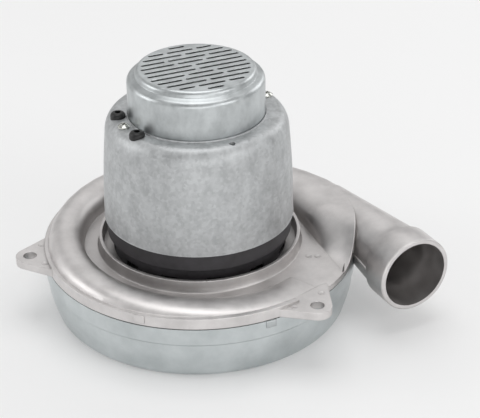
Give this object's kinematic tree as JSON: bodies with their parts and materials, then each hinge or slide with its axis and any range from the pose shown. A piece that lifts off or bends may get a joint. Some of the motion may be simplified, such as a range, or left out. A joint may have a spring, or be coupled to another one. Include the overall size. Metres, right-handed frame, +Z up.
{
  "type": "vacuum motor unit",
  "caption": "Central-vacuum motor: drawn fan shell under a cast scroll with a tangential horn, motor cover on a black baffle ring, slotted vent cap, mounting ears, rotor and sprung brushes.",
  "frame": {"origin": "centre of the intake eye at the fan shell's flat bottom face", "axes": "+Z up the motor shaft from the intake eye to the vent cap; the horn blows towards azimuth -64.2 degrees from +X, parallel to the XY plane"},
  "size_m": [0.2902, 0.2254, 0.1748],
  "materials": {
    "zinc_shell": "zinc-plated drawn steel, smooth",
    "cast_aluminium": "matt die-cast",
    "black_moulding": "moulded, satin",
    "galvanised_cover": "dull mottled galvanised",
    "zinc_cap": "shiny zinc-plated",
    "zinc_screws": "bright zinc",
    "black_rubber": "soft sheen",
    "fan_sheet": "rolled sheet",
    "seal_rubber": "matt",
    "laminations": "stacked sheet, dark",
    "copper_winding": "enamelled copper wire",
    "bracket_aluminium": "die-cast",
    "brass": "plain brass",
    "spring_steel": "drawn wire and strip",
    "bearing_steel": "ground",
    "shaft_steel": "turned",
    "commutator_copper": "turned copper",
    "fan_moulding": "moulded",
    "carbon": "pressed carbon"
  },
  "bodies": {
    "housing": {"fan_shell": "zinc_shell", "scroll_casting": "cast_aluminium", "baffle_ring": "black_moulding", "motor_cover": "galvanised_cover", "vent_cap": "zinc_cap", "motor_screws": "zinc_screws", "lead_grommets": "black_rubber", "diffuser": "fan_sheet", "shaft_seal": "seal_rubber", "field_stack": "laminations", "field_coils": "copper_winding", "upper_bracket": "bracket_aluminium", "preload_washer": "spring_steel", "brush_holders": "brass", "brush_terminals": "brass", "brush_spring_front": "spring_steel", "brush_spring_rear": "spring_steel", "lower_bearing_outer": "bearing_steel", "upper_bearing_outer": "bearing_steel"},
    "rotor": {"shaft": "shaft_steel", "lower_impeller": "fan_sheet", "upper_impeller": "fan_sheet", "fan_washers": "shaft_steel", "fan_spacers": "shaft_steel", "impeller_nut": "zinc_screws", "armature_core": "laminations", "armature_windings": "copper_winding", "commutator": "commutator_copper", "vent_fan": "fan_moulding", "vent_fan_nut": "zinc_screws", "lower_bearing_inner": "bearing_steel", "upper_bearing_inner": "bearing_steel"},
    "lower_ball_set": {"lower_bearing_balls": "bearing_steel", "lower_bearing_cage": "brass"},
    "upper_ball_set": {"upper_bearing_balls": "bearing_steel", "upper_bearing_cage": "brass"},
    "front_brush": {"brush_front": "carbon"},
    "rear_brush": {"brush_rear": "carbon"}
  },
  "joints": [
    {"name": "rotor_spin", "type": "hinge", "parent": "housing", "child": "rotor", "pos_m": [0, 0, 0.09], "axis": [0, 0, 1], "continuous": true},
    {"name": "lower_ball_spin", "type": "hinge", "parent": "housing", "child": "lower_ball_set", "pos_m": [0, 0, 0.054], "axis": [0, 0, 1], "continuous": true},
    {"name": "upper_ball_spin", "type": "hinge", "parent": "housing", "child": "upper_ball_set", "pos_m": [0, 0, 0.1425], "axis": [0, 0, 1], "continuous": true},
    {"name": "front_brush_slide", "type": "slide", "parent": "housing", "child": "front_brush", "axis": [0.4131, -0.9107, 0], "range_m": [0, 0.006], "stiffness_N_per_m": 150, "springref_m": -0.012, "deforming": ["brush_spring_front"]},
    {"name": "rear_brush_slide", "type": "slide", "parent": "housing", "child": "rear_brush", "axis": [-0.4131, 0.9107, 0], "range_m": [0, 0.006], "stiffness_N_per_m": 150, "springref_m": -0.012, "deforming": ["brush_spring_rear"]}
  ],
  "couplings": [
    {"joint": "lower_ball_spin", "follows": "rotor_spin", "ratio": 0.3842},
    {"joint": "upper_ball_spin", "follows": "rotor_spin", "ratio": 0.37}
  ]
}
